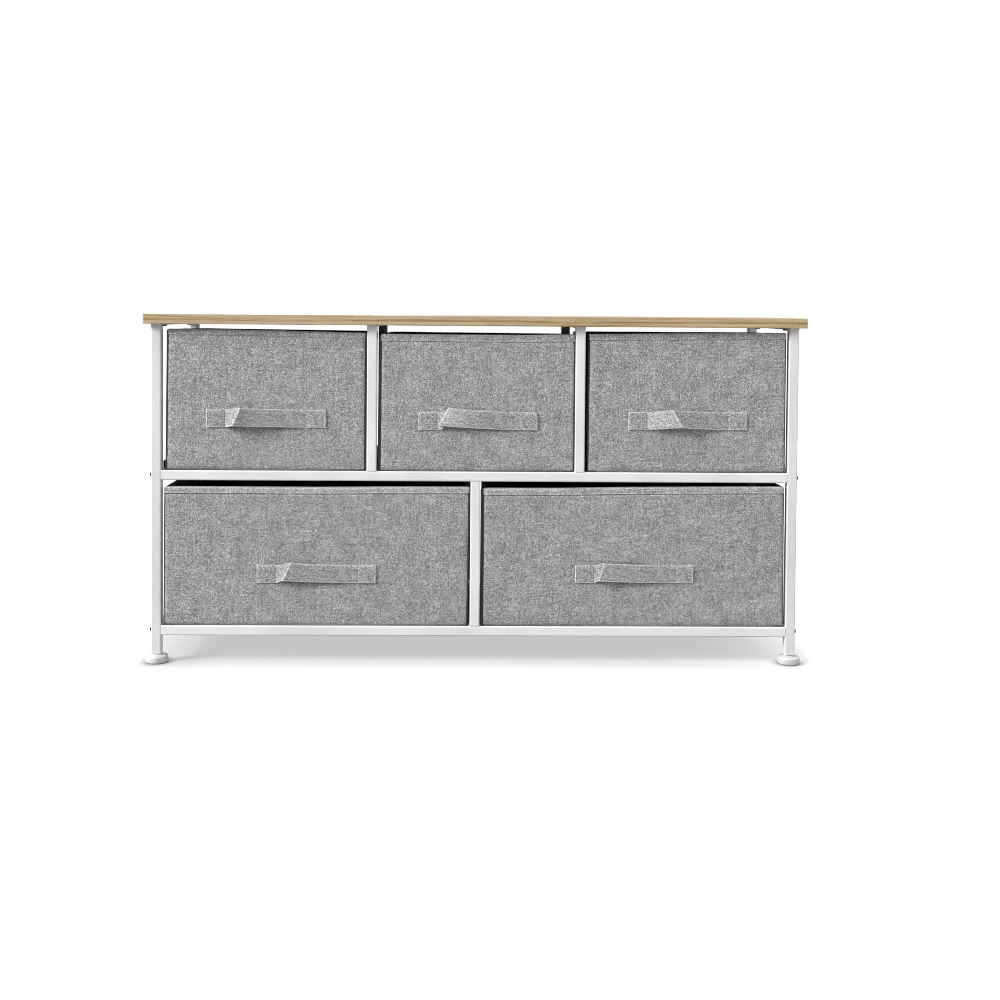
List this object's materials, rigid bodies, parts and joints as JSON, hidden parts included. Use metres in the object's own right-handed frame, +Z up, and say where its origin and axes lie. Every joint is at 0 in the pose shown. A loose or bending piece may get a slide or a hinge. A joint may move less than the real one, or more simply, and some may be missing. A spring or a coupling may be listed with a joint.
{
  "type": "fabric drawer dresser",
  "caption": "Low dresser with a white square-tube steel frame, a light oak laminate top and open grey fabric drawers with strap pulls that slide on sheet-metal runners.",
  "frame": {"origin": "on the floor, under the middle of the board", "axes": "+X to the right along the front, +Y from the drawer fronts to the back, +Z up"},
  "size_m": [1, 0.3, 0.529],
  "materials": {
    "oak_laminate": "light oak laminate on particle board, satin",
    "white_powder_steel": "white powder coat, semi-matt",
    "black_runner_steel": "black powder coat, matt",
    "dark_screw_steel": "black oxide",
    "foot_plastic": "moulded off-white",
    "insert_plastic": "moulded black nylon",
    "black_nonwoven": "black non-woven cloth over stiffener",
    "grey_linen": "grey melange linen-look weave",
    "strap_webbing": "folded strap of the same grey weave",
    "covered_fibreboard": "fibreboard covered in black non-woven cloth"
  },
  "bodies": {
    "frame": {"board_screws": "dark_screw_steel", "divider_spigots": "white_powder_steel", "divider_top_strap_1": "white_powder_steel", "divider_top_strap_2": "white_powder_steel", "foot_inserts": "insert_plastic", "front_bottom_rail": "white_powder_steel", "front_left_leg": "white_powder_steel", "front_lower_post_1": "white_powder_steel", "front_middle_rail": "white_powder_steel", "front_right_leg": "white_powder_steel", "front_upper_post_1": "white_powder_steel", "front_upper_post_2": "white_powder_steel", "left_bottom_side_rail": "white_powder_steel", "left_middle_side_rail": "white_powder_steel", "left_top_strap": "white_powder_steel", "lower_centre_runner_1": "black_runner_steel", "lower_left_runner": "black_runner_steel", "lower_right_runner": "black_runner_steel", "rail_bolts": "dark_screw_steel", "rear_bottom_rail": "white_powder_steel", "rear_left_leg": "white_powder_steel", "rear_lower_post_1": "white_powder_steel", "rear_middle_rail": "white_powder_steel", "rear_right_leg": "white_powder_steel", "rear_upper_post_1": "white_powder_steel", "rear_upper_post_2": "white_powder_steel", "right_bottom_side_rail": "white_powder_steel", "right_middle_side_rail": "white_powder_steel", "right_top_strap": "white_powder_steel", "runner_screws": "dark_screw_steel", "top_board": "oak_laminate", "upper_centre_runner_1": "black_runner_steel", "upper_centre_runner_2": "black_runner_steel", "upper_left_runner": "black_runner_steel", "upper_right_runner": "black_runner_steel"},
    "upper_drawer_1": {"upper_drawer_1_base_board": "covered_fibreboard", "upper_drawer_1_bin": "black_nonwoven", "upper_drawer_1_front": "grey_linen", "upper_drawer_1_handle": "strap_webbing"},
    "upper_drawer_2": {"upper_drawer_2_base_board": "covered_fibreboard", "upper_drawer_2_bin": "black_nonwoven", "upper_drawer_2_front": "grey_linen", "upper_drawer_2_handle": "strap_webbing"},
    "upper_drawer_3": {"upper_drawer_3_base_board": "covered_fibreboard", "upper_drawer_3_bin": "black_nonwoven", "upper_drawer_3_front": "grey_linen", "upper_drawer_3_handle": "strap_webbing"},
    "lower_drawer_1": {"lower_drawer_1_base_board": "covered_fibreboard", "lower_drawer_1_bin": "black_nonwoven", "lower_drawer_1_front": "grey_linen", "lower_drawer_1_handle": "strap_webbing"},
    "lower_drawer_2": {"lower_drawer_2_base_board": "covered_fibreboard", "lower_drawer_2_bin": "black_nonwoven", "lower_drawer_2_front": "grey_linen", "lower_drawer_2_handle": "strap_webbing"},
    "front_left_foot": {"front_left_foot": "foot_plastic"},
    "rear_left_foot": {"rear_left_foot": "foot_plastic"},
    "front_right_foot": {"front_right_foot": "foot_plastic"},
    "rear_right_foot": {"rear_right_foot": "foot_plastic"}
  },
  "joints": [
    {"name": "upper_drawer_1_slide", "type": "slide", "parent": "frame", "child": "upper_drawer_1", "axis": [0, -1, 0], "range_m": [0, 0.25]},
    {"name": "upper_drawer_2_slide", "type": "slide", "parent": "frame", "child": "upper_drawer_2", "axis": [0, -1, 0], "range_m": [0, 0.25]},
    {"name": "upper_drawer_3_slide", "type": "slide", "parent": "frame", "child": "upper_drawer_3", "axis": [0, -1, 0], "range_m": [0, 0.25]},
    {"name": "lower_drawer_1_slide", "type": "slide", "parent": "frame", "child": "lower_drawer_1", "axis": [0, -1, 0], "range_m": [0, 0.25]},
    {"name": "lower_drawer_2_slide", "type": "slide", "parent": "frame", "child": "lower_drawer_2", "axis": [0, -1, 0], "range_m": [0, 0.25]},
    {"name": "front_left_foot_screw", "type": "slide", "parent": "frame", "child": "front_left_foot", "axis": [0, 0, -1], "range_m": [0, 0.008]},
    {"name": "rear_left_foot_screw", "type": "slide", "parent": "frame", "child": "rear_left_foot", "axis": [0, 0, -1], "range_m": [0, 0.008]},
    {"name": "front_right_foot_screw", "type": "slide", "parent": "frame", "child": "front_right_foot", "axis": [0, 0, -1], "range_m": [0, 0.008]},
    {"name": "rear_right_foot_screw", "type": "slide", "parent": "frame", "child": "rear_right_foot", "axis": [0, 0, -1], "range_m": [0, 0.008]}
  ]
}
